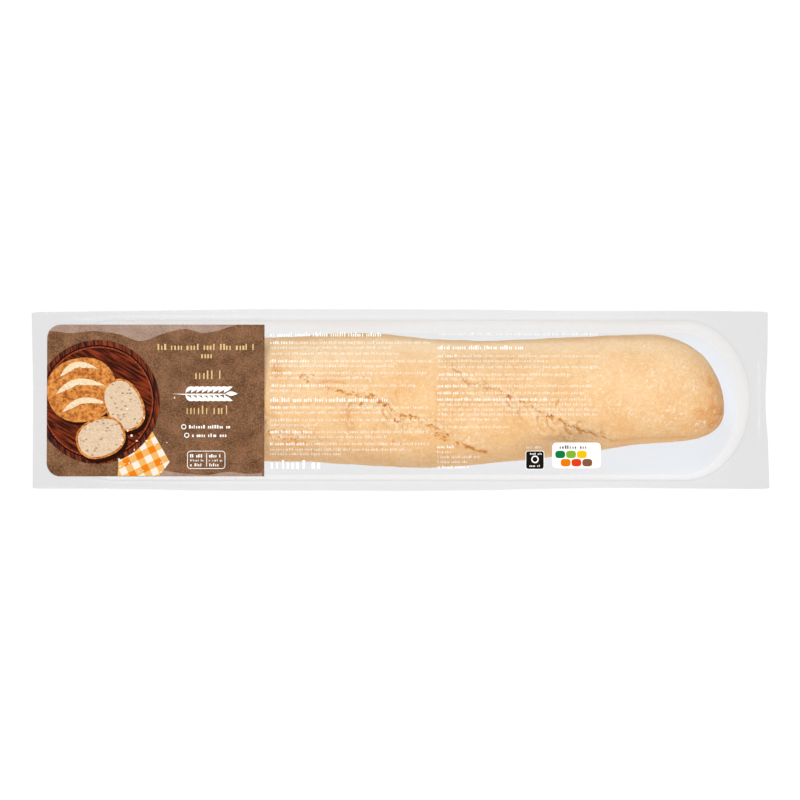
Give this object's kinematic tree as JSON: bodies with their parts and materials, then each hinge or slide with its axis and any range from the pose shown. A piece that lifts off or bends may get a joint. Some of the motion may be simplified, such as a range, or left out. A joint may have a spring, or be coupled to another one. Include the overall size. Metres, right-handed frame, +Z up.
{
  "type": "packed part-baked baguette",
  "caption": "Part-baked white baguette with slanted cuts, sealed in a clear formed tray with a clear printed top film; lies flat.",
  "frame": {"origin": "bottom centre of the pack, on the underside of the tray's floor", "axes": "+X along the pack, away from the printed panel; +Y to the far long side when the print is read; +Z up through the top film"},
  "size_m": [0.43, 0.1056, 0.0485],
  "materials": {
    "tray_film": "clear formed film, glossy",
    "crust": "dry, floury, pale golden bread crust",
    "top_film": "clear lidding film, glossy",
    "printed_panel": "opaque brown ink printed on the back of the film",
    "white_ink": "opaque white ink printed on the back of the film"
  },
  "bodies": {
    "root": {"tray": "tray_film", "baguette": "crust", "top_film": "top_film"}
  },
  "joints": []
}
